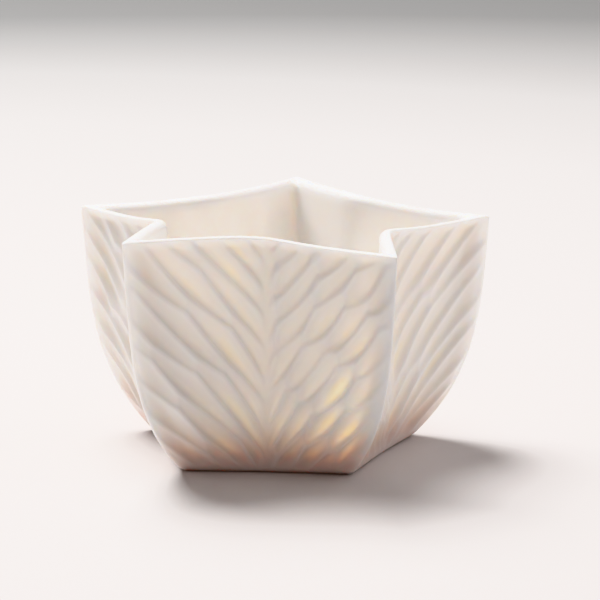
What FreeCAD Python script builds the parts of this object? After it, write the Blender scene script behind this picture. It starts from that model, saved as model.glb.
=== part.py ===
"""Tealight holder: a slip-cast porcelain bowl, star-shaped at the rim and five-sided at the foot,
with a tealight standing on its floor. Millimetres, +Z up, origin at the centre of the foot.
"""
import FreeCAD, Part
import math
import os

# ---- porcelain bowl ----
STAR_POINTS = 5
RIM_HEIGHT = 55.1            # mean height of the rim
RIM_TIP_RADIUS = 52.0        # axis to the edge of a point, at the rim
FOOT_TIP_RADIUS = 32.8       # axis to a corner of the five-sided foot
RIM_FOLD_RADIUS = 29.5       # axis to the bottom of a fold, at the rim
KEEL_STRAIGHT = 0.22         # share of a keel's spread that grows evenly with height
KEEL_BELLY = 4.1             # how soon above the foot the rest of the spread is reached
FOLD_START = 2.2             # how soon above the foot the folds reach their depth
FOLD_ROUNDING = 0.13         # softness of a fold's bottom, as a share of half a panel
WALL = 2.7
BOWL_FLOOR = 3.2
FLOOR_EASE = 1.6             # how far the inside draws in where wall and floor meet
FOOT_CHAMFER = 0.6

# The rim was trimmed by hand: its lift at each point and fold, anticlockwise from the point on +Y.
RIM_LIFT = (0.9, 1.1, -0.8, 0.5, 1.4, 0.5, -0.7, -0.9, -1.7, 1.5)

# ---- tealight ----
CUP_RADIUS = 18.9
CUP_HEIGHT = 15.6
CUP_SHEET = 0.3
CUP_CORNER = 0.7             # outside radius between the cup's wall and floor
CUP_BEAD = 0.55              # radius of the rolled edge
WAX_CLEARANCE = 0.2          # the cast candle slips out of its cup
WAX_HEIGHT = 13.0
WAX_EDGE = 1.0               # radius that the setting wax leaves round its top
WICK_RADIUS = 0.8
WICK_ABOVE_WAX = 7.0
CAST_GAP = 0.05              # between the wax and the pieces that it is cast round
SUSTAINER_RADIUS = 6.0
SUSTAINER_SHEET = 0.3
NECK_RADIUS = 1.4
NECK_HEIGHT = 3.6

Z_AXIS = FreeCAD.Vector(0, 0, 1)
HALF_SIDE = math.pi / STAR_POINTS
SECTION_HEIGHTS = (0.0, 3.0, 7.0, 12.0, 18.0, 26.0, 36.0, 48.0, 62.0)
PANEL_STEPS = 9              # points of a section's curve on each side of a fold
RIM_STEPS = 60               # points of the rim's wave
TRIM_RADII = (15.0, 62.0)    # the ring that trims the rim: well inside the folds, well past the points
TRIM_HEIGHT = 20.0
FLAT = 1e-4                  # an edge whose heights differ by less lies flat
DIAGONAL = math.sqrt(0.5)    # sine and cosine half-way along a quarter turn


def tip_radius(height):
    """Outline of a keel: steep above the foot, then almost straight to the rim."""
    t = height / RIM_HEIGHT
    bellied = 1 - max(0.0, 1 - t) ** KEEL_BELLY
    spread = KEEL_STRAIGHT * t + (1 - KEEL_STRAIGHT) * bellied
    return FOOT_TIP_RADIUS + (RIM_TIP_RADIUS - FOOT_TIP_RADIUS) * spread


def fold_depth(height):
    """How far a fold lies inside the straight line between its two keels; none at the foot."""
    full = RIM_TIP_RADIUS * math.cos(HALF_SIDE) - RIM_FOLD_RADIUS
    return full * (1 - max(0.0, 1 - height / RIM_HEIGHT) ** FOLD_START)


def fold_shape(s):
    """Share of the fold's depth at s, which runs from -1 at one keel to 1 at the next."""
    end = math.hypot(1, FOLD_ROUNDING)
    return (end - math.hypot(s, FOLD_ROUNDING)) / (end - FOLD_ROUNDING)


def star_wire(height, radius, depth):
    """Closed wire of five curved panels between points at the given radius."""
    spread = [i / PANEL_STEPS for i in range(-PANEL_STEPS, PANEL_STEPS + 1)]
    edges = []
    for side in range(STAR_POINTS):
        middle = math.pi / 2 + (2 * side + 1) * HALF_SIDE
        points = []
        for u in spread:
            s = u * math.sqrt(abs(u))
            out = radius * math.cos(HALF_SIDE) - depth * fold_shape(s)
            along = radius * math.sin(HALF_SIDE) * s
            x = out * math.cos(middle) - along * math.sin(middle)
            y = out * math.sin(middle) + along * math.cos(middle)
            points.append(FreeCAD.Vector(x, y, height))
        curve = Part.BSplineCurve()
        curve.interpolate(points)
        edges.append(curve.toShape())
    return Part.Wire(edges)


def wall_inset(height):
    """How far a point and a fold move in, measured from the axis, across one wall's thickness."""
    radius = tip_radius(height)
    depth = fold_depth(height)
    lean = math.atan2(depth, radius * math.sin(HALF_SIDE))
    at_tip = WALL / math.sin(math.pi / 2 - HALF_SIDE - lean)
    at_fold = WALL / math.cos(lean)
    return at_tip, at_fold


def outer_body():
    wires = [star_wire(z, tip_radius(z), fold_depth(z)) for z in SECTION_HEIGHTS]
    return Part.makeLoft(wires, True, False)


def inner_body():
    """The hollow: the outside moved in by one wall, eased in where it meets the floor."""
    wires = []
    for height in (BOWL_FLOOR,) + tuple(z for z in SECTION_HEIGHTS if z > 2 * BOWL_FLOOR):
        at_tip, at_fold = wall_inset(height)
        ease = FLOOR_EASE if height == BOWL_FLOOR else 0.0
        radius = tip_radius(height) - at_tip - ease
        fold = tip_radius(height) * math.cos(HALF_SIDE) - fold_depth(height) - at_fold - ease
        wires.append(star_wire(height, radius, radius * math.cos(HALF_SIDE) - fold))
    return Part.makeLoft(wires, True, False)


def rim_height(angle):
    """Rim height round the bowl: the one smooth wave through all ten lifts."""
    count = len(RIM_LIFT)
    total = 0.0
    for i, lift in enumerate(RIM_LIFT):
        x = angle - math.pi / 2 - 2 * math.pi * i / count
        tangent = math.tan(x / 2)
        share = 1.0 if abs(tangent) < FLAT else math.sin(count * x / 2) / (count * tangent)
        total += lift * share
    return RIM_HEIGHT + total


def rim_trim():
    """Everything above the hand-trimmed rim, as a thick ring."""
    rings = []
    for radius in TRIM_RADII:
        points = []
        for i in range(RIM_STEPS):
            angle = 2 * math.pi * i / RIM_STEPS
            z = rim_height(angle)
            points.append(FreeCAD.Vector(radius * math.cos(angle), radius * math.sin(angle), z))
        curve = Part.BSplineCurve()
        curve.interpolate(Points=points, PeriodicFlag=True)
        rings.append(curve.toShape())
    return Part.makeRuledSurface(rings[0], rings[1]).extrude(Z_AXIS * TRIM_HEIGHT)


def porcelain_bowl():
    bowl = outer_body().cut(inner_body()).cut(rim_trim())
    foot_edges = [e for e in bowl.Edges if e.BoundBox.ZMax < FLAT]
    return bowl.makeChamfer(FOOT_CHAMFER, foot_edges)


def revolved(corners, base):
    """Solid of revolution about the axis; each corner is (radius, height above base)."""
    points = [FreeCAD.Vector(r, 0, base + z) for r, z in corners]
    profile = Part.Face(Part.makePolygon(points + points[:1]))
    return profile.revolve(FreeCAD.Vector(0, 0, 0), Z_AXIS, 360)


def tealight_cup(base):
    """Pressed sheet cup with a rounded bottom corner and an edge rolled outwards."""
    radius = CUP_RADIUS
    corner = CUP_CORNER
    inner = radius - CUP_SHEET
    inner_corner = corner - CUP_SHEET
    bead_x = inner + CUP_BEAD
    bead_z = CUP_HEIGHT - CUP_BEAD
    under = bead_z - math.sqrt(CUP_BEAD ** 2 - (bead_x - radius) ** 2)

    def at(r, z):
        return FreeCAD.Vector(r, 0, base + z)

    edges = [
        Part.LineSegment(at(0, 0), at(radius - corner, 0)),
        Part.Arc(at(radius - corner, 0),
                 at(radius - corner + corner * DIAGONAL, corner - corner * DIAGONAL),
                 at(radius, corner)),
        Part.LineSegment(at(radius, corner), at(radius, under)),
        Part.Arc(at(radius, under), at(bead_x + CUP_BEAD, bead_z), at(bead_x, CUP_HEIGHT)),
        Part.Arc(at(bead_x, CUP_HEIGHT),
                 at(bead_x - CUP_BEAD * DIAGONAL, bead_z + CUP_BEAD * DIAGONAL),
                 at(inner, bead_z)),
        Part.LineSegment(at(inner, bead_z), at(inner, corner)),
        Part.Arc(at(inner, corner),
                 at(inner - inner_corner * (1 - DIAGONAL), corner - inner_corner * DIAGONAL),
                 at(inner - inner_corner, CUP_SHEET)),
        Part.LineSegment(at(inner - inner_corner, CUP_SHEET), at(0, CUP_SHEET)),
        Part.LineSegment(at(0, CUP_SHEET), at(0, 0)),
    ]
    profile = Part.Face(Part.Wire([edge.toShape() for edge in edges]))
    return profile.revolve(FreeCAD.Vector(0, 0, 0), Z_AXIS, 360)


def wax_fill(base):
    """Cast wax with a bore for the wick and a pocket underneath for the sustainer."""
    radius = CUP_RADIUS - CUP_SHEET - WAX_CLEARANCE
    block = Part.makeCylinder(radius, WAX_HEIGHT, FreeCAD.Vector(0, 0, base))
    foot_edges = [e for e in block.Edges if e.BoundBox.ZMax < base + FLAT]
    block = block.makeChamfer(CUP_CORNER, foot_edges)
    top_edges = [e for e in block.Edges if e.BoundBox.ZMin > base + WAX_HEIGHT - FLAT]
    block = block.makeFillet(WAX_EDGE, top_edges)
    pocket = revolved([
        (0, 0),
        (SUSTAINER_RADIUS + CAST_GAP, 0),
        (SUSTAINER_RADIUS + CAST_GAP, SUSTAINER_SHEET),
        (NECK_RADIUS + CAST_GAP, SUSTAINER_SHEET),
        (NECK_RADIUS + CAST_GAP, NECK_HEIGHT + CAST_GAP),
        (WICK_RADIUS + CAST_GAP, NECK_HEIGHT + CAST_GAP),
        (WICK_RADIUS + CAST_GAP, WAX_HEIGHT),
        (0, WAX_HEIGHT),
    ], base)
    return block.cut(pocket)


def wick_sustainer(base):
    """Stamped tin disc with a crimped neck that holds the wick upright."""
    return revolved([
        (0, 0),
        (SUSTAINER_RADIUS, 0),
        (SUSTAINER_RADIUS, SUSTAINER_SHEET),
        (NECK_RADIUS, SUSTAINER_SHEET),
        (NECK_RADIUS, NECK_HEIGHT),
        (WICK_RADIUS + CAST_GAP, NECK_HEIGHT),
        (WICK_RADIUS + CAST_GAP, SUSTAINER_SHEET),
        (0, SUSTAINER_SHEET),
    ], base)


def wick(base):
    start = base + SUSTAINER_SHEET
    length = WAX_HEIGHT - SUSTAINER_SHEET + WICK_ABOVE_WAX
    return Part.makeCylinder(WICK_RADIUS, length, FreeCAD.Vector(0, 0, start))


cup_base = BOWL_FLOOR
candle_base = cup_base + CUP_SHEET

pieces = {
    "porcelain_bowl": porcelain_bowl(),
    "tealight_cup": tealight_cup(cup_base),
    "wax_fill": wax_fill(candle_base),
    "wick_sustainer": wick_sustainer(candle_base),
    "wick": wick(candle_base),
}

os.makedirs("parts", exist_ok=True)
for name, shape in pieces.items():
    solid = shape if shape.ShapeType == "Solid" else shape.Solids[0]
    solid.exportStep(os.path.join("parts", name + ".step"))
    box = solid.BoundBox
    print(name, solid.isValid(), "solids", len(shape.Solids), "volume %.1f" % solid.Volume,
          "x %.2f %.2f y %.2f %.2f z %.2f %.2f"
          % (box.XMin, box.XMax, box.YMin, box.YMax, box.ZMin, box.ZMax))
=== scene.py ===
"""Tealight holder: a carved porcelain star bowl with a tealight standing in it.

Metres, +Z up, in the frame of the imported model. The bowl's outline is worked out in millimetres
from the same driving sizes as its solid, and turned into metres where its mesh is made.
"""
import math

import bpy
import numpy as np
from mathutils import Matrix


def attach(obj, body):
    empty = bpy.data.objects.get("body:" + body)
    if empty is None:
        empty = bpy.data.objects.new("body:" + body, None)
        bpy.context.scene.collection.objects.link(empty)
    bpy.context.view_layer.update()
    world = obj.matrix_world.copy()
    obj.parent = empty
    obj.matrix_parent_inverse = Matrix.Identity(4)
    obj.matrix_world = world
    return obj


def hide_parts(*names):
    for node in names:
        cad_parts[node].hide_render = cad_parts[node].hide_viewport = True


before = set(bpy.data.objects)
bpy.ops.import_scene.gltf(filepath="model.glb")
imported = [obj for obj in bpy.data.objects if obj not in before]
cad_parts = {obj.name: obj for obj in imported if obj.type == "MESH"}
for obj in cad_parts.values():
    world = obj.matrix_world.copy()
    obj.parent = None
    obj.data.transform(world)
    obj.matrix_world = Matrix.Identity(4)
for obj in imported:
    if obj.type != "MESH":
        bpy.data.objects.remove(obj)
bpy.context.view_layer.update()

MM = 0.001
NO_ZERO = 1e-7               # keeps a quotient clear of nought over nought

# ---- porcelain bowl, millimetres ----
STAR_POINTS = 5
RIM_HEIGHT = 55.1
RIM_TIP_RADIUS = 52.0
FOOT_TIP_RADIUS = 32.8
RIM_FOLD_RADIUS = 29.5
KEEL_STRAIGHT = 0.22
KEEL_BELLY = 4.1
FOLD_START = 2.2
FOLD_ROUNDING = 0.13
WALL = 2.7
BOWL_FLOOR = 3.2
RIM_LIFT = (0.9, 1.1, -0.8, 0.5, 1.4, 0.5, -0.7, -0.9, -1.7, 1.5)
HALF_SIDE = math.pi / STAR_POINTS

FOOT_ROUND = 1.3             # radius of the foot's lower edge
LIP_OUTER_ROUND = 0.6        # radius of the rim's outer edge
LIP_INNER_ROUND = 1.7        # radius of the rim's inner edge, which the sponge rounds more
FLOOR_ROUND = 4.5            # inside, between wall and floor
OUTER_SOFTNESS = 0.55        # spread of the sponging that rounds the keels
KEEL_ALLOWANCE = 0.42        # added to a keel before the sponging takes it off again
INNER_SOFTNESS = 2.0         # spread of the softer rounding that casting leaves inside

# ---- carving, millimetres; a share is of half a panel's width, from fold to keel ----
CARVE_DEPTH = 1.8            # depth of a full stroke
ROW_PITCH = 6.7              # height between furrows
FURROW_HALF = 4.4            # half a furrow's height at the middle of a stroke
GOUGE_SLANT = 0.38           # how far below its middle line a furrow is deepest, as a share of its half
STROKE_FADE = 0.75           # how much shallower a stroke is at its ends
STROKE_TAPER = 0.85          # how much a stroke narrows there, on the square of its width
FLOW_RISE = 31.0             # how far the furrows climb from fold to keel
KEEL_CURL = 0.1              # how much more steeply they climb as they near the keel
FOLD_REACH = 0.24            # share over which they stand up along the fold
UPRIGHT_AT_RIM = 4.5         # how far they stand up there at the rim
UPRIGHT_AT_FOOT = 6.0        # and how much more at the foot
VALLEY_DEPTH = 0.5           # depth of the soft valley along the fold, as a share of a full stroke
VALLEY_SHARE = 0.08          # share over which the furrows run out into it
KEEL_SHALLOWING = (0.78, 0.95, 0.5)     # from this share to that one the cuts lose this much depth
KEEL_BARE = (0.94, 0.985)               # from this share to that one they end
CARVED_ABOVE_FOOT = (0.6, 4.5)          # heights between which the carving begins
CARVED_BELOW_RIM = (0.2, 2.4)           # distances below the rim between which it begins
STRENGTHS = (0.75, 1.0)      # depths that a stroke may have, as shares of a full one
WIDTHS = (0.9, 1.1)          # widths that it may have
STROKE_LIFT = 0.3            # how far the hand strayed from a furrow's line
FURROWS = 24                 # most furrows on half a panel
FURROWS_BELOW = 8            # how many of them start below the foot, where the lines bend down
STROKES = 8                  # most strokes in one furrow
SEED = 11
# Length of one stroke on each half panel, as a share; anticlockwise from the point on +Y.
STROKE_SHARE = (0.42, 0.5, 0.5, 0.45, 0.62, 0.31, 0.45, 0.8, 0.5, 0.4)
# Each half panel was carved at its own slope, in the same order.
SLOPE = (1.0, 0.92, 0.96, 1.02, 0.97, 0.92, 0.98, 0.84, 1.04, 0.96)
# Where the gouge went deepest and light shows through: half panel, share, height.
DEEP_PLACES = (
    (5, 0.35, 13.5), (5, 0.56, 14.5), (5, 0.76, 9.0), (5, 0.62, 23.0), (5, 0.73, 29.0), (4, 0.19, 20.0),
    (4, 0.2, 34.0), (4, 0.24, 46.0), (7, 0.5, 24.0), (0, 0.4, 18.0), (9, 0.6, 15.0), (2, 0.45, 22.0))
DEEP_LENGTH = 0.1            # reach of a deep place along the panel, as a share
DEEP_HEIGHT = 4.5            # and in height
DEEPER = 0.25                # how much deeper the cut is there

# ---- painted glow, highlights and shade on the bowl ----
KEEL_HIGHLIGHT = 0.07             # share over which a keel is whitened by a painted highlight
LIP_HIGHLIGHT = (0.2, 1.2)        # distances below the rim over which the lip's painted highlight fades out
FOOT_SHADE = 0.95             # how strongly painted shade darkens the outside at the foot
FOOT_SHADE_HEIGHT = 17.0      # height over which that fades out
INNER_GLOW = 0.45            # how far the inside is painted with the warm glow of the carved hollows

# ---- tealight, millimetres ----
CUP_RADIUS = 18.9
CUP_HEIGHT = 15.6
CUP_SHEET = 0.3
CUP_CORNER = 0.7
CUP_BEAD = 0.55
CUP_PLEATS = 72
PLEAT_DEPTH = 0.05
WAX_CLEARANCE = 0.2
WAX_HEIGHT = 13.0
WAX_DISH = 0.6               # how far the wax sank in the middle as it set
WAX_CLIMB = 0.35             # how far it climbs the wick
WAX_CLIMB_REACH = 0.5        # how soon that dies out
WAX_EDGE = 0.5               # radius of the wax's upper edge
WICK_RADIUS = 0.8
WICK_ABOVE_WAX = 7.0
CAST_GAP = 0.05
SUSTAINER_RADIUS = 6.0
SUSTAINER_SHEET = 0.3
NECK_RADIUS = 1.4
NECK_HEIGHT = 3.6
NECK_FLARE = 0.3             # where the neck rises from the disc
CRIMP_DEPTH = 0.2            # how far the neck is pinched onto the wick
STRAND_LAY = 2.2             # turn of the braid's strands, in radians per millimetre
STRAND_RELIEF = 0.2          # height of a strand, as a share of the wick's radius

# ---- camera and light ----
CAMERA_AZIMUTH = 5.12
CAMERA_ELEVATION = 12.03
CAMERA_DISTANCE = 0.7
CAMERA_LENS = 177.5
CAMERA_ACROSS = 5.24         # how far right of the bowl's axis the camera looks, in millimetres
CAMERA_HEIGHT = 35.08        # and how high
LIGHT_TARGET = (0, 0, 0.02)
LIGHT_DISTANCE = 1.5
FLOOR_HALF = 4.0

# ---- grids ----
HALF_STEPS = 64
RING = 2 * HALF_STEPS * STAR_POINTS
COARSE = 4                   # the smooth inside has one point for this many outside
WALL_ROWS = 124
INSIDE_ROWS = 34


def smooth_step(low, high, value):
    """0 below low, 1 above high, and 3t^2 - 2t^3 between them."""
    t = np.clip((value - low) / (high - low), 0, 1)
    return t * t * (3 - 2 * t)


def tip_radius(height):
    """Keel outline: foot radius plus the spread times k t + (1 - k) (1 - (1 - t)^b), with t the share
    of the height, k KEEL_STRAIGHT and b KEEL_BELLY."""
    t = height / RIM_HEIGHT
    bellied = 1 - np.maximum(0, 1 - t) ** KEEL_BELLY
    spread = KEEL_STRAIGHT * t + (1 - KEEL_STRAIGHT) * bellied
    return FOOT_TIP_RADIUS + (RIM_TIP_RADIUS - FOOT_TIP_RADIUS) * spread


def fold_depth(height):
    """Depth of a fold behind the line from keel to keel: full depth times 1 - (1 - t)^FOLD_START."""
    full = RIM_TIP_RADIUS * math.cos(HALF_SIDE) - RIM_FOLD_RADIUS
    return full * (1 - np.maximum(0, 1 - height / RIM_HEIGHT) ** FOLD_START)


def panel_width(height):
    """Width of half a panel, from fold to keel."""
    return np.hypot(tip_radius(height) * math.sin(HALF_SIDE), fold_depth(height))


def fold_shape(s):
    """Share of the fold's depth at s: a V whose bottom is a hyperbola, f = (e - sqrt(s^2 + r^2)) /
    (e - r), with r the rounding and e chosen so that f is 0 at the keels."""
    end = math.hypot(1, FOLD_ROUNDING)
    return (end - np.hypot(s, FOLD_ROUNDING)) / (end - FOLD_ROUNDING)


def ring_parameters():
    """Side number and place s on the side, from -1 at one keel to 1 at the next, round the bowl."""
    index = np.arange(RING)
    per_side = 2 * HALF_STEPS
    return index // per_side, 2 * (index % per_side) / per_side - 1


def star_ring(radius, depth):
    """Plan points of the star: out = R cos 36 - depth * fold_shape(s), along = R sin 36 * s."""
    side, s = ring_parameters()
    middle = math.pi / 2 + (2 * side + 1) * HALF_SIDE
    out = radius * math.cos(HALF_SIDE) - depth * fold_shape(s)
    along = radius * math.sin(HALF_SIDE) * s
    x = out * np.cos(middle) - along * np.sin(middle)
    y = out * np.sin(middle) + along * np.cos(middle)
    return x + 1j * y


def soften(ring, softness):
    """Rounds the ring's corners by a Gaussian blur along it: each wave of its Fourier series is
    multiplied by exp(-2 (pi softness n / length)^2)."""
    length = np.abs(np.diff(ring, axis=1, append=ring[:, :1])).sum(axis=1, keepdims=True)
    wave = np.fft.fftfreq(ring.shape[1], 1 / ring.shape[1])
    keep = np.exp(-2 * (math.pi * softness * wave / length) ** 2)
    return np.fft.ifft(np.fft.fft(ring, axis=1) * keep, axis=1)


def outer_ring(height):
    """Outside of the wall at each height, rows by ring points: the star ring with its keels drawn out
    a little, then softened."""
    radius = tip_radius(height) + KEEL_ALLOWANCE
    depth = fold_depth(height) + KEEL_ALLOWANCE * math.cos(HALF_SIDE)
    return soften(star_ring(radius, depth), OUTER_SOFTNESS)


def inner_ring(height):
    """Inside of the wall: keels and folds moved in by one wall's thickness."""
    radius = tip_radius(height)
    depth = fold_depth(height)
    lean = np.arctan2(depth, radius * math.sin(HALF_SIDE))
    inner_radius = radius - WALL / np.cos(HALF_SIDE + lean)
    fold = radius * math.cos(HALF_SIDE) - depth - WALL / np.cos(lean)
    ring = star_ring(inner_radius, inner_radius * math.cos(HALF_SIDE) - fold)
    return soften(ring, INNER_SOFTNESS)


def rim_height(angle):
    """Height of the rim: the one smooth wave through the ten lifts, a sum of
    lift sin(10 x / 2) / (10 tan(x / 2)) with x the angle from each lift's place."""
    total = np.zeros_like(angle)
    count = len(RIM_LIFT)
    for i, lift in enumerate(RIM_LIFT):
        x = angle - math.pi / 2 - 2 * math.pi * i / count + NO_ZERO
        total += lift * np.sin(count * x / 2) / (count * np.tan(x / 2))
    return RIM_HEIGHT + total


def stroke_lines(height, share, half):
    """Number of the furrow that a place lies on, with its fraction. Along furrow n the height is
    n * pitch + F (u + c u^3) + U (1 - exp(-u / r)), with u the share from fold to keel. F shrinks with
    the panel's width and U grows towards the foot, so the furrows fan out from the foot's fold."""
    up = np.maximum(0, 1 - height / RIM_HEIGHT)
    upright = UPRIGHT_AT_RIM + UPRIGHT_AT_FOOT * up ** 1.5
    narrowing = panel_width(height) / panel_width(RIM_HEIGHT)
    rise = FLOW_RISE * np.array(SLOPE)[half] * narrowing * (share + KEEL_CURL * share ** 3)
    rise = rise + upright * (1 - np.exp(-share / FOLD_REACH))
    return (height - rise) / ROW_PITCH


def deep_places(height, share, half):
    """How near a place is to the thinnest ones: a sum of exp(-(along^2 + up^2)) about each."""
    near = np.zeros_like(height)
    for place, middle, level in DEEP_PLACES:
        away = ((share - middle) / DEEP_LENGTH) ** 2 + ((height - level) / DEEP_HEIGHT) ** 2
        near += (half == place) * np.exp(-away)
    return near


def carving(height):
    """Depth of the carved furrows, as a share of a full stroke. A furrow is made of strokes laid end to
    end: depth = D (1 - f p^2) (1 - (d / w)^2), with p from -1 to 1 along a stroke and d the height off
    its deepest line. w = W sqrt(1 - t p^2), less on the lower side and more on the upper one, because
    the gouge was held at a slant. Along the fold the strokes run out into one soft valley, and they
    grow shallower and end just before the keel."""
    side, s = ring_parameters()
    share = np.abs(s)[None, :] + 0 * height
    half = (2 * side + (s > 0))[None, :] + np.zeros(height.shape, int)
    rng = np.random.default_rng(SEED)
    halves = 2 * STAR_POINTS
    phase = rng.uniform(0, 1, halves)
    start = rng.uniform(0, 1, (halves, FURROWS))
    strength = rng.uniform(*STRENGTHS, (halves, FURROWS, STROKES))
    width = rng.uniform(*WIDTHS, (halves, FURROWS, STROKES))
    lift = rng.uniform(-STROKE_LIFT, STROKE_LIFT, (halves, FURROWS, STROKES))

    line = stroke_lines(height, share, half) + phase[half]
    depth = np.zeros_like(height)
    for near in (0, 1):
        row = np.floor(line).astype(int) + near
        furrow = np.clip(row + FURROWS_BELOW, 0, FURROWS - 1)
        along = share / np.array(STROKE_SHARE)[half] + start[half, furrow]
        stroke = np.clip(np.floor(along).astype(int), 0, STROKES - 1)
        name = (half, furrow, stroke)
        p = 2 * (along - np.floor(along)) - 1
        w = FURROW_HALF * width[name] * np.sqrt(1 - STROKE_TAPER * p ** 2)
        d = (line - row) * ROW_PITCH - lift[name] * (1 - p ** 2) + GOUGE_SLANT * w
        w = w * np.where(d > 0, 1 + GOUGE_SLANT, 1 - GOUGE_SLANT)
        cut = strength[name] * (1 - STROKE_FADE * p ** 2) * np.maximum(0, 1 - (d / w) ** 2)
        depth = np.maximum(depth, cut)
    depth *= 1 + DEEPER * deep_places(height, share, half)

    beside_fold = smooth_step(0.0, VALLEY_SHARE, share)
    depth = depth * beside_fold + VALLEY_DEPTH * (1 - beside_fold)
    first, last, loss = KEEL_SHALLOWING
    return depth * (1 - loss * smooth_step(first, last, share)) * (1 - smooth_step(*KEEL_BARE, share))


def blurred(field, times=2):
    """Softens a grid: each pass mixes a point with its four neighbours, half and half."""
    for _ in range(times):
        beside = np.roll(field, 1, axis=1) + np.roll(field, -1, axis=1)
        padded = np.pad(field, ((1, 1), (0, 0)), mode="edge")
        field = field / 2 + (beside + padded[:-2] + padded[2:]) / 8
    return field


def normals_of(points):
    """Unit normals of a grid of points that closes on itself along its second axis: the cross product
    of the steps to its neighbours around and up."""
    around = np.roll(points, -1, axis=1) - np.roll(points, 1, axis=1)
    up = np.gradient(points, axis=0)
    normal = np.cross(around, up)
    return normal / np.linalg.norm(normal, axis=2, keepdims=True)


def stacked(plan, height):
    """Grid of points from plan points, as complex numbers, and heights."""
    return np.stack([plan.real, plan.imag, height + 0 * plan.real], axis=2)


def grid_triangles(rows, count, first=0, leaning=None):
    """Triangles of a grid whose rows are closed rings. Where leaning is true a cell is split from
    its lower left corner to its upper right one, and elsewhere the other way."""
    r, i = np.meshgrid(np.arange(rows - 1), np.arange(count), indexing="ij")
    j = (i + 1) % count
    a = first + r * count + i
    b = first + r * count + j
    c = first + (r + 1) * count + j
    d = first + (r + 1) * count + i
    lean = np.ones(i.shape, bool) if leaning is None else leaning[i]
    one = np.where(lean[..., None], np.stack([a, b, c], 2), np.stack([a, b, d], 2))
    two = np.where(lean[..., None], np.stack([a, c, d], 2), np.stack([b, c, d], 2))
    return np.concatenate([one.reshape(-1, 3), two.reshape(-1, 3)])


def stitch_triangles(fine, coarse, count, flip=False):
    """Joins a ring of count points to one of a quarter as many. fine and coarse are first indexes."""
    j = np.arange(count // COARSE)
    k = (j + 1) % (count // COARSE)
    parts = []
    for step in range(COARSE):
        low = fine + j * COARSE + step
        high = fine + (j * COARSE + step + 1) % count
        apex = coarse + (j if step < COARSE // 2 else k)
        parts.append(np.stack([low, high, apex], 1))
    middle = fine + j * COARSE + COARSE // 2
    parts.append(np.stack([middle, coarse + k, coarse + j], 1))
    triangles = np.concatenate(parts)
    return triangles[:, ::-1] if flip else triangles


def fan_triangles(ring, centre, count, flip=False):
    """Closes a ring with triangles to one point."""
    i = np.arange(count)
    triangles = np.stack([ring + i, ring + (i + 1) % count, np.full(count, centre)], 1)
    return triangles[:, ::-1] if flip else triangles


def make_piece(name, points, triangles, material, body, node_name):
    """Puts points in millimetres and triangles into a mesh object, ties it to its body, and hides the
    node of the solid model that it is drawn in place of."""
    mesh = bpy.data.meshes.new(name)
    mesh.vertices.add(len(points))
    mesh.vertices.foreach_set("co", (points * MM).astype(np.float32).ravel())
    mesh.loops.add(triangles.size)
    mesh.loops.foreach_set("vertex_index", triangles.astype(np.int32).ravel())
    mesh.polygons.add(len(triangles))
    mesh.polygons.foreach_set("loop_start", np.arange(0, triangles.size, 3, dtype=np.int32))
    mesh.polygons.foreach_set("use_smooth", np.ones(len(triangles), bool))
    mesh.update(calc_edges=True)
    mesh.validate()
    piece = bpy.data.objects.new(name, mesh)
    bpy.context.scene.collection.objects.link(piece)
    mesh.materials.append(material)
    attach(piece, body)
    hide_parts(node_name)
    return piece


def bowl_outside():
    """Outside of the bowl from the foot's edge to the inner end of the lip, as plan points and heights:
    a quarter round at the foot, the wall, and a small and a larger quarter round over the lip."""
    rim = rim_height(np.angle(outer_ring(np.array([[RIM_HEIGHT]]))))
    turn = np.linspace(-math.pi / 2, 0, 7)[:, None]
    foot_height = FOOT_ROUND * (1 + np.sin(turn)) + 0 * rim
    foot_plan = outer_ring(foot_height)
    foot_plan = foot_plan * (1 - FOOT_ROUND * (1 - np.cos(turn)) / np.abs(foot_plan))

    share = np.linspace(0, 1, WALL_ROWS)[1:, None]
    wall_height = FOOT_ROUND + (rim - LIP_OUTER_ROUND - FOOT_ROUND) * share

    turn = np.linspace(0, math.pi / 2, 7)[:, None]
    outer_edge = LIP_OUTER_ROUND / WALL * (1 - np.cos(turn[1:]))
    inner_edge = 1 - LIP_INNER_ROUND / WALL * (1 - np.sin(turn))
    across = np.concatenate([outer_edge, inner_edge])
    outer_drop = LIP_OUTER_ROUND * (1 - np.sin(turn[1:]))
    inner_drop = LIP_INNER_ROUND * (1 - np.cos(turn))
    lip_height = rim - np.concatenate([outer_drop, inner_drop])
    lip_plan = outer_ring(lip_height) * (1 - across) + inner_ring(lip_height) * across

    plan = np.concatenate([foot_plan, outer_ring(wall_height), lip_plan])
    height = np.concatenate([foot_height, wall_height, lip_height])
    return plan, height, rim, len(plan) - len(lip_plan)


def bowl_inside(rim):
    """Inside of the bowl from the lip to the floor, with one point for every COARSE outside: the wall, a
    quarter round, and rings that shrink across the floor."""
    low = BOWL_FLOOR + FLOOR_ROUND
    top = rim - LIP_INNER_ROUND
    wall_height = top + (low - top) * np.linspace(0, 1, INSIDE_ROWS)[1:, None]
    turn = np.linspace(0, math.pi / 2, 8)[1:, None]
    corner_height = low - FLOOR_ROUND * np.sin(turn) + 0 * rim
    corner_plan = inner_ring(corner_height)
    corner_plan = corner_plan * (1 - FLOOR_ROUND * (1 - np.cos(turn)) / np.abs(corner_plan))
    floor_plan = corner_plan[-1:] * np.array([0.85, 0.6, 0.3])[:, None]
    floor_height = BOWL_FLOOR + 0 * floor_plan.real
    plan = np.concatenate([inner_ring(wall_height), corner_plan, floor_plan])
    height = np.concatenate([wall_height, corner_height, floor_height])
    return stacked(plan[:, ::COARSE], height[:, ::COARSE])


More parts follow.
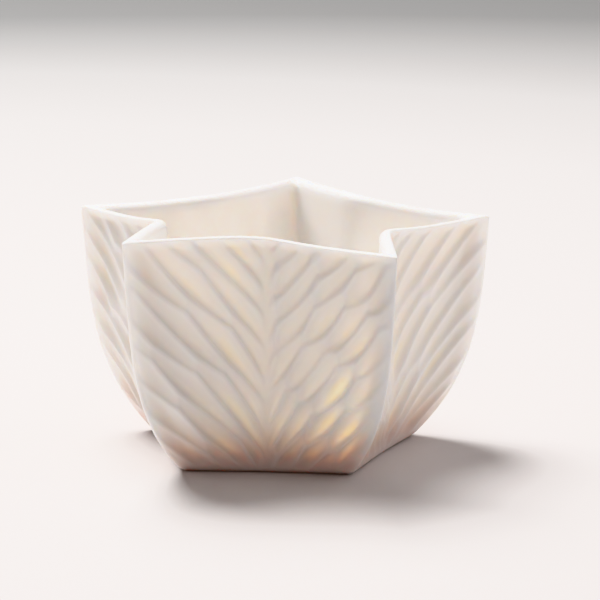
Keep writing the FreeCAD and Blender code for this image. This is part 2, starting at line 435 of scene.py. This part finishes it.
def porcelain_bowl(material):
    """One closed surface: the outside moved in along its normals by the carving, the lip, the smooth
    inside and its floor, and the flat underside. Three attributes carry the painted glow, painted
    highlights and painted shade of its colour."""
    plan, height, rim, lip_start = bowl_outside()
    depth = carving(height) * smooth_step(*CARVED_ABOVE_FOOT, height)
    depth *= smooth_step(*CARVED_BELOW_RIM, rim - height)
    depth[lip_start:] = 0
    depth = blurred(depth)
    outside = stacked(plan, height)
    outside = outside - normals_of(outside) * (CARVE_DEPTH * depth)[..., None]
    inside = bowl_inside(rim)
    under = stacked(plan[:1, ::COARSE] * np.array([0.35, 0.7, 0.94])[:, None], np.zeros((3, 1)))

    ring = RING // COARSE
    inside_first = outside.shape[0] * RING
    under_first = inside_first + inside.shape[0] * ring
    centres = under_first + under.shape[0] * ring
    points = np.concatenate([
        outside.reshape(-1, 3),
        inside.reshape(-1, 3),
        under.reshape(-1, 3),
        [[0, 0, 0], [0, 0, BOWL_FLOOR]],
    ])
    _, s = ring_parameters()
    triangles = np.concatenate([
        grid_triangles(outside.shape[0], RING, leaning=s >= 0),
        stitch_triangles(inside_first - RING, inside_first, RING),
        grid_triangles(inside.shape[0], ring, inside_first),
        fan_triangles(under_first - ring, centres + 1, ring),
        grid_triangles(under.shape[0], ring, under_first),
        stitch_triangles(0, centres - ring, RING, flip=True),
        fan_triangles(under_first, centres, ring, flip=True),
    ])
    piece = make_piece("carved_porcelain_bowl", points, triangles, material,
                       "holder", "porcelain_bowl")

    # Painted highlight: the keels and lip are whitened in the colour, where light catches the edges.
    keel = np.exp(-((1 - np.abs(s)) / KEEL_HIGHLIGHT) ** 2)[None, :]
    lip = 1 - smooth_step(*LIP_HIGHLIGHT, rim - height)
    # Painted shade: the outside is darkened, and made pinker, towards the foot, where the floor's shadow
    # falls.
    foot_shade = FOOT_SHADE * (1 - smooth_step(0, FOOT_SHADE_HEIGHT, height))
    # The carved depth also drives a painted warm glow in the colour; the inside is given part of it.
    tones = (("carved", depth, INNER_GLOW), ("edge_highlight", np.maximum(keel, lip), 0),
             ("foot_shade", foot_shade, 0))
    for name, tone, inner_tone in tones:
        values = np.full(len(points), inner_tone, np.float32)
        values[:inside_first] = tone.ravel()
        piece.data.attributes.new(name, "FLOAT", "POINT").data.foreach_set("value", values)
    return piece


def turned(name, radius, height, material, body, node_name):
    """Surface about the axis from grids of radii and heights, whose rows run out along the underside,
    up the outside and back over the top. First and last rows with no radius meet the axis in a point;
    otherwise the last row joins the first."""
    radius, height = np.broadcast_arrays(radius, height)
    count = radius.shape[1]
    angle = np.linspace(0, 2 * math.pi, count, endpoint=False)
    if radius[0, 0] > 0:
        points = stacked(radius * np.exp(1j * angle), height).reshape(-1, 3)
        triangles = grid_triangles(len(radius) + 1, count) % len(points)
    else:
        grid = stacked(radius[1:-1] * np.exp(1j * angle), height[1:-1]).reshape(-1, 3)
        points = np.concatenate([grid, [[0, 0, height[0, 0]], [0, 0, height[-1, 0]]]])
        triangles = np.concatenate([
            grid_triangles(len(radius) - 2, count),
            fan_triangles(0, len(grid), count, flip=True),
            fan_triangles(len(grid) - count, len(grid) + 1, count),
        ])
    return make_piece(name, points, triangles, material, body, node_name)


def corner(radius, height, bend, start, end, steps=7):
    """Profile points, radius and height, of an arc about a centre, between two angles in degrees."""
    angle = np.radians(np.linspace(start, end, steps))
    return np.stack([radius + bend * np.cos(angle), height + bend * np.sin(angle)], 1)


def run(start, end, steps):
    """Profile points along a straight stretch."""
    return np.linspace(start, end, steps)


def tealight_cup(material):
    """Pressed cup: flat floor, rounded corner, edge rolled outwards. The wall carries fine upright
    pleats: radius + P cos(n a), fading out at both ends."""
    base = BOWL_FLOOR
    bore = CUP_RADIUS - CUP_SHEET
    bead_radius = bore + CUP_BEAD
    bead_height = base + CUP_HEIGHT - CUP_BEAD
    roll = -180 + math.degrees(math.acos((bead_radius - CUP_RADIUS) / CUP_BEAD))
    under = bead_height + CUP_BEAD * math.sin(math.radians(roll))
    profile = np.concatenate([
        run((0, base), (CUP_RADIUS - CUP_CORNER, base), 6)[:-1],
        corner(CUP_RADIUS - CUP_CORNER, base + CUP_CORNER, CUP_CORNER, -90, 0),
        run((CUP_RADIUS, base + CUP_CORNER), (CUP_RADIUS, under), 10)[1:-1],
        corner(bead_radius, bead_height, CUP_BEAD, roll, 180, 16),
        run((bore, bead_height), (bore, base + CUP_CORNER), 10)[1:-1],
        corner(CUP_RADIUS - CUP_CORNER, base + CUP_CORNER, CUP_CORNER - CUP_SHEET, 0, -90),
        run((CUP_RADIUS - CUP_CORNER, base + CUP_SHEET), (0, base + CUP_SHEET), 6)[1:],
    ])
    angle = np.linspace(0, 2 * math.pi, 6 * CUP_PLEATS, endpoint=False)[None, :]
    radius, height = profile[:, :1], profile[:, 1:]
    on_wall = smooth_step(1.0, 3.0, height - base) * smooth_step(0.3, 2.0, bead_height - height)
    radius = radius + PLEAT_DEPTH * on_wall * np.cos(CUP_PLEATS * angle)
    return turned("pressed_tealight_cup", radius, height, material, "tealight", "tealight_cup")


def wax_fill(material):
    """Cast wax round its wick: the top is a shallow dish, T - D (1 - (r / R)^4), that climbs a little
    at the wick by C exp(-(r - wick) / reach). The underside has the pocket of the sustainer."""
    base = BOWL_FLOOR + CUP_SHEET
    outside = CUP_RADIUS - CUP_SHEET - WAX_CLEARANCE
    top = base + WAX_HEIGHT
    bore = WICK_RADIUS + CAST_GAP
    neck = NECK_RADIUS + CAST_GAP
    pocket = SUSTAINER_RADIUS + CAST_GAP
    shoulder = outside - WAX_EDGE
    r = shoulder - (shoulder - bore) * np.linspace(0, 1, 40) ** 0.8
    climb = WAX_CLIMB * np.exp(-(r - bore) / WAX_CLIMB_REACH)
    dish = top - WAX_DISH * (1 - (r / outside) ** 4) + climb
    profile = np.concatenate([
        run((pocket, base), (outside - CUP_CORNER, base), 8),
        run((outside, base + CUP_CORNER), (outside, top - WAX_EDGE), 12),
        corner(shoulder, dish[0] - WAX_EDGE, WAX_EDGE, 0, 90)[1:-1],
        np.stack([r, dish], 1),
        run((bore, dish[-1]), (bore, base + NECK_HEIGHT + CAST_GAP), 8)[1:],
        run((neck, base + NECK_HEIGHT + CAST_GAP), (neck, base + SUSTAINER_SHEET), 5),
        run((pocket, base + SUSTAINER_SHEET), (pocket, base + SUSTAINER_SHEET / 2), 2),
    ])
    radius = profile[:, :1] + np.zeros((1, 120))
    return turned("cast_wax", radius, profile[:, 1:], material, "candle", "wax_fill")


def wick_sustainer(material):
    """Stamped disc with a neck crimped onto the wick: radius - C cos^2(2 a) on the neck's outside."""
    base = BOWL_FLOOR + CUP_SHEET
    hold = WICK_RADIUS + CAST_GAP
    sheet = base + SUSTAINER_SHEET
    neck_top = base + NECK_HEIGHT
    rim, bevel = SUSTAINER_RADIUS, SUSTAINER_SHEET / 3
    profile = np.array([
        (0, base), (rim - bevel, base), (rim, base + bevel), (rim, sheet - bevel), (rim - bevel, sheet),
        (NECK_RADIUS + NECK_FLARE, sheet), (NECK_RADIUS, sheet + NECK_FLARE), (NECK_RADIUS, sheet + 1.2),
        (NECK_RADIUS, sheet + 2.2), (NECK_RADIUS, neck_top), (hold, neck_top), (hold, sheet), (0, sheet),
    ])
    radius, height = profile[:, :1], profile[:, 1:]
    angle = np.linspace(0, 2 * math.pi, 96, endpoint=False)[None, :]
    crimped = (radius == NECK_RADIUS) * (height > sheet + 1) * (height < neck_top)
    radius = radius - CRIMP_DEPTH * crimped * np.cos(2 * angle) ** 2
    return turned("stamped_sustainer", radius, height, material, "candle", "wick_sustainer")


def braided_wick(material):
    """Braided cotton: R (1 - h + h max(|cos(2 a + k z)|, |cos(2 a - k z)|)), two sets of strands that
    wind round in opposite directions, with rounded ends."""
    start = BOWL_FLOOR + CUP_SHEET + SUSTAINER_SHEET
    length = WAX_HEIGHT - SUSTAINER_SHEET + WICK_ABOVE_WAX
    rows = np.linspace(0, 1, 260)[:, None]
    height = start + length * rows
    angle = np.linspace(0, 2 * math.pi, 64, endpoint=False)[None, :]
    lay = STRAND_LAY * height
    strands = np.maximum(np.abs(np.cos(2 * angle + lay)), np.abs(np.cos(2 * angle - lay)))
    ends = np.sqrt(np.clip((1 - (2 * rows - 1) ** 40), 0, 1))
    radius = WICK_RADIUS * (1 - STRAND_RELIEF + STRAND_RELIEF * strands) * ends
    return turned("braided_wick", radius, height, material, "candle", "wick")


# ---------------------------------------------------------------- materials


def new_material(name, **sockets):
    """A material with its shader's own sockets set; an underscore in a name stands for a space."""
    material = bpy.data.materials.new(name)
    material.use_nodes = True
    shader = material.node_tree.nodes["Principled BSDF"]
    for socket, value in sockets.items():
        shader.inputs[socket.replace("_", " ")].default_value = value
    return material, material.node_tree, shader


def node(tree, kind, inputs=None, **settings):
    made = tree.nodes.new(kind)
    for key, value in settings.items():
        setattr(made, key, value)
    for key, value in (inputs or {}).items():
        made.inputs[key].default_value = value
    return made


def object_place(tree):
    return node(tree, "ShaderNodeTexCoord").outputs["Object"]


def noise(tree, place, scale, detail):
    texture = node(tree, "ShaderNodeTexNoise", {"Scale": scale, "Detail": detail})
    tree.links.new(place, texture.inputs["Vector"])
    return texture.outputs["Fac"]


def attribute(tree, name):
    return node(tree, "ShaderNodeAttribute", attribute_name=name).outputs["Fac"]


def ranged(tree, value, inputs):
    change = node(tree, "ShaderNodeMapRange", inputs)
    tree.links.new(value, change.inputs["Value"])
    return change.outputs["Result"]


def blend(tree, factor, first, second, blend_type="MIX"):
    """Blends a colour, or what another node puts out, with a second colour."""
    mix = node(tree, "ShaderNodeMix", data_type="RGBA", blend_type=blend_type)
    tree.links.new(factor, mix.inputs["Factor"])
    if isinstance(first, tuple):
        mix.inputs["A"].default_value = (*first, 1)
    else:
        tree.links.new(first, mix.inputs["A"])
    mix.inputs["B"].default_value = (*second, 1)
    return mix.outputs["Result"]


def bump(tree, shader, height, strength):
    relief = node(tree, "ShaderNodeBump", {"Strength": strength, "Distance": 0.0001})
    tree.links.new(height, relief.inputs["Height"])
    tree.links.new(relief.outputs["Normal"], shader.inputs["Normal"])


def porcelain():
    """Unglazed porcelain, sponged and polished, with light and shade painted into its colour: a painted
    warm glow in the carved hollows, warmer still where the wall is thin, for light shining through, so
    the crests stay whiter; painted highlights on the keels and lip; painted shade, pinker and darker,
    towards the foot. It has a faint cloudiness and a very fine tooth."""
    material, tree, shader = new_material(
        "bisque_porcelain", Roughness=0.42, Specular_IOR_Level=0.4, Subsurface_Weight=0.75,
        Subsurface_Radius=(1.0, 0.84, 0.7), Subsurface_Scale=0.0029)
    place = object_place(tree)
    carved = attribute(tree, "carved")
    thin = ranged(tree, carved, {"From Min": 0.78, "From Max": 1.15})
    # Painted glow: the carved hollows are tinted warm, and the thinnest places warmer still, for light
    # shining through the wall.
    tone = blend(tree, carved, (0.945, 0.93, 0.925), (0.935, 0.885, 0.835))
    tone = blend(tree, thin, tone, (0.99, 0.86, 0.67))
    tone = blend(tree, noise(tree, place, 60.0, 3.0), tone, (0.965, 0.95, 0.94), "MULTIPLY")
    # Painted highlight: whiter keels and lip, where light catches the edges.
    tone = blend(tree, attribute(tree, "edge_highlight"), tone, (0.99, 0.985, 0.98))
    # Painted shade: darker and pinker towards the foot.
    tone = blend(tree, attribute(tree, "foot_shade"), tone, (0.84, 0.74, 0.70), "MULTIPLY")
    tree.links.new(tone, shader.inputs["Base Color"])
    bump(tree, shader, noise(tree, place, 2600.0, 2.0), 0.12)
    return material


def sheet_metal(name, place_scale, scale, detail, dark, light, smooth, rough):
    """Bare metal whose tone and roughness both follow one fine grain, stretched by place_scale."""
    material, tree, shader = new_material(name, Metallic=1.0)
    stretch = node(tree, "ShaderNodeMapping", {"Scale": place_scale})
    tree.links.new(object_place(tree), stretch.inputs["Vector"])
    grain = noise(tree, stretch.outputs["Vector"], scale, detail)
    tree.links.new(blend(tree, grain, dark, light), shader.inputs["Base Color"])
    tree.links.new(ranged(tree, grain, {"To Min": smooth, "To Max": rough}), shader.inputs["Roughness"])
    return material


def pressed_aluminium():
    """Bright sheet, with faint upright streaks where the wall was drawn up."""
    return sheet_metal("pressed_aluminium", (1, 1, 0.08), 900.0, 3.0,
                       (0.72, 0.72, 0.73), (0.84, 0.84, 0.85), 0.24, 0.4)


def stamped_tin():
    """Dull tinplate with an even grain."""
    return sheet_metal("stamped_tin", (1, 1, 1), 1500.0, 4.0,
                       (0.6, 0.6, 0.61), (0.72, 0.72, 0.72), 0.3, 0.5)


def candle_wax():
    """Off-white wax that light enters, with soft clouds."""
    material, tree, shader = new_material(
        "candle_wax", Roughness=0.38, Subsurface_Weight=1.0, Subsurface_Radius=(1.0, 0.9, 0.75),
        Subsurface_Scale=0.002)
    cloud = noise(tree, object_place(tree), 240.0, 4.0)
    tone = blend(tree, cloud, (0.93, 0.91, 0.86), (0.97, 0.96, 0.93))
    tree.links.new(tone, shader.inputs["Base Color"])
    return material


def waxed_cotton():
    """Cream cotton with a fine fibrous relief."""
    material, tree, shader = new_material("waxed_cotton", Roughness=0.7)
    fibre = noise(tree, object_place(tree), 3000.0, 3.0)
    tone = blend(tree, fibre, (0.72, 0.67, 0.56), (0.9, 0.87, 0.78))
    tree.links.new(tone, shader.inputs["Base Color"])
    bump(tree, shader, fibre, 0.4)
    return material


def floor_finish():
    """Plain and pale round the bowl, and greyer with distance from it."""
    material, tree, shader = new_material("pale_floor", Roughness=0.6)
    reach = node(tree, "ShaderNodeVectorMath", operation="LENGTH")
    tree.links.new(object_place(tree), reach.inputs[0])
    fade = ranged(tree, reach.outputs["Value"], {"From Min": 0.12, "From Max": 0.9})
    tone = blend(tree, fade, (0.735, 0.705, 0.70), (0.2, 0.2, 0.2))
    tree.links.new(tone, shader.inputs["Base Color"])
    return material


# ---------------------------------------------------------------- stage, light, camera


def studio_floor():
    """Plain pale floor, large enough to fill every view."""
    mesh = bpy.data.meshes.new("studio_floor")
    corners = FLOOR_HALF * np.array([(-1, -1, 0), (1, -1, 0), (1, 1, 0), (-1, 1, 0)])
    mesh.from_pydata(corners.tolist(), [], [(0, 1, 2, 3)])
    mesh.materials.append(floor_finish())
    floor = bpy.data.objects.new("studio_floor", mesh)
    bpy.context.scene.collection.objects.link(floor)


def direction(azimuth, elevation):
    """Unit vector from the object towards a light or camera; azimuth 0 is in front, on -Y."""
    a = math.radians(azimuth)
    e = math.radians(elevation)
    return np.array([math.sin(a) * math.cos(e), -math.cos(a) * math.cos(e), math.sin(e)])


def aim(thing, place, target):
    """Puts a light or camera at place, looking at target along its own -Z."""
    back = np.array(place, float) - np.array(target, float)
    back /= np.linalg.norm(back)
    side = np.cross([0, 0, 1], back)
    side /= np.linalg.norm(side)
    up = np.cross(back, side)
    matrix = np.eye(4)
    matrix[:3, 0] = side
    matrix[:3, 1] = up
    matrix[:3, 2] = back
    matrix[:3, 3] = place
    thing.matrix_world = matrix.T.tolist()


def soft_box(name, azimuth, elevation, size, watts, colour):
    """Round soft light that faces the bowl."""
    light = bpy.data.lights.new(name, "AREA")
    light.shape = "DISK"
    light.size = size
    light.energy = watts
    light.color = colour
    lamp = bpy.data.objects.new(name, light)
    bpy.context.scene.collection.objects.link(lamp)
    target = np.array(LIGHT_TARGET)
    aim(lamp, target + direction(azimuth, elevation) * LIGHT_DISTANCE, target)


def studio_light():
    """A window behind the bowl on its left, a weak bounce from the right, and a warm dim room."""
    soft_box("window_light", 217, 54, 1.05, 46, (1.0, 0.995, 0.985))
    soft_box("wall_fill", 104, 38, 1.6, 6, (1.0, 0.97, 0.97))
    world = bpy.data.worlds.new("studio")
    bpy.context.scene.world = world
    world.use_nodes = True
    background = world.node_tree.nodes["Background"]
    background.inputs["Color"].default_value = (1.0, 0.905, 0.875, 1)
    background.inputs["Strength"].default_value = 0.25


def camera():
    """Slightly above the rim and a little to the right of the front fold, on a long lens."""
    turn = math.radians(CAMERA_AZIMUTH)
    across = CAMERA_ACROSS * MM
    target = np.array([across * math.cos(turn), across * math.sin(turn), CAMERA_HEIGHT * MM])
    lens = bpy.data.cameras.new("camera")
    lens.lens = CAMERA_LENS
    lens.sensor_width = 36.0
    lens.clip_start = 0.01
    eye = bpy.data.objects.new("camera", lens)
    bpy.context.scene.collection.objects.link(eye)
    aim(eye, target + direction(CAMERA_AZIMUTH, CAMERA_ELEVATION) * CAMERA_DISTANCE, target)
    bpy.context.scene.camera = eye


camera()
studio_light()
studio_floor()
porcelain_bowl(porcelain())
tealight_cup(pressed_aluminium())
wax_fill(candle_wax())
wick_sustainer(stamped_tin())
braided_wick(waxed_cotton())
bpy.context.scene.view_settings.view_transform = "Khronos PBR Neutral"
